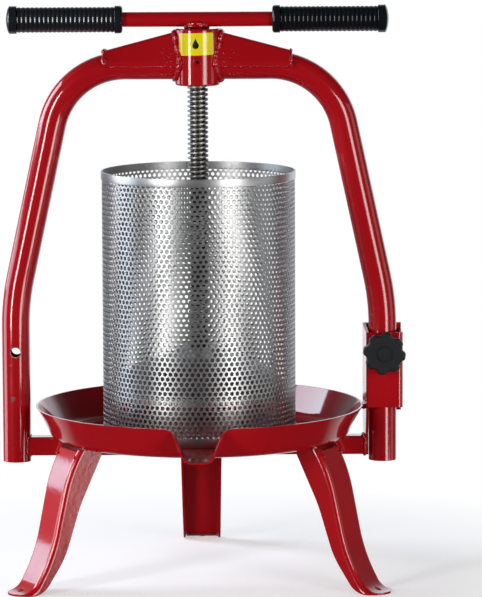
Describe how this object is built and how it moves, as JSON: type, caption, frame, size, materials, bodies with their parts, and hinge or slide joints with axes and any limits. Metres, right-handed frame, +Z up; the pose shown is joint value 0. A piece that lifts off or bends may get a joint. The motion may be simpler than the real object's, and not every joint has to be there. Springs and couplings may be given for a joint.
{
  "type": "screw fruit press",
  "caption": "Free-standing screw fruit press: tube arch over a perforated basket in a spouted juice tray on pressed legs, with a hand screw, domed press plate and star-knob arch lock.",
  "frame": {"origin": "on the floor under the screw's axis, at the centre of the circle through the toe holes of the legs", "axes": "+Z up along the screw, -Y to the front over the spout, +X to the arch lock"},
  "size_m": [0.4312, 0.4246, 0.6127],
  "materials": {
    "red_coat": "glossy red powder coat",
    "stainless_steel": "satin stainless sheet",
    "screw_steel": "machined steel, lightly oiled",
    "plate_steel": "pressed stainless sheet, dull",
    "zinc_steel": "zinc plated",
    "grip_rubber": "ribbed black rubber",
    "knob_plastic": "matte dark grey moulding"
  },
  "bodies": {
    "frame": {"arch_left_tube": "red_coat", "arch_right_tube": "red_coat", "left_gusset": "red_coat", "right_gusset": "red_coat", "spindle_hub": "red_coat", "crossbar": "red_coat", "tray": "red_coat", "front_left_leg": "red_coat", "front_right_leg": "red_coat", "rear_leg": "red_coat", "arch_bracket": "red_coat", "lock_nut": "red_coat"},
    "press_foot": {"press_plate": "plate_steel", "plate_socket": "plate_steel", "socket_screws": "zinc_steel"},
    "spindle": {"spindle": "screw_steel", "handle_bar": "red_coat", "left_grip": "grip_rubber", "right_grip": "grip_rubber"},
    "basket": {"basket_wall": "stainless_steel", "basket_top_band": "stainless_steel", "basket_bottom_band": "stainless_steel"},
    "lock_cover": {"lock_cover": "red_coat"},
    "lock_knob": {"lock_knob": "knob_plastic", "lock_stud": "zinc_steel"}
  },
  "joints": [
    {"name": "press_travel", "type": "slide", "parent": "frame", "child": "press_foot", "axis": [0, 0, 1], "range_m": [0, 0.27063]},
    {"name": "spindle_turn", "type": "hinge", "parent": "press_foot", "child": "spindle", "pos_m": [0, 0, 0.5], "axis": [0, 0, 1], "range_deg": [0, 19485]},
    {"name": "basket_lift", "type": "slide", "parent": "frame", "child": "basket", "axis": [0, 0, 1], "range_m": [0, 0.085]},
    {"name": "lock_cover_slide", "type": "slide", "parent": "frame", "child": "lock_cover", "axis": [0.0349, -0.9994, 0], "range_m": [0, 0.009]},
    {"name": "lock_knob_turn", "type": "hinge", "parent": "lock_cover", "child": "lock_knob", "pos_m": [0.1962, 0, 0.2434], "axis": [0.0349, -0.9994, 0], "range_deg": [0, 2160]}
  ],
  "couplings": [
    {"joint": "press_travel", "follows": "spindle_turn", "m_per_rad": 0.00079577},
    {"joint": "lock_knob_turn", "follows": "lock_cover_slide", "rad_per_m": 4188.8}
  ]
}
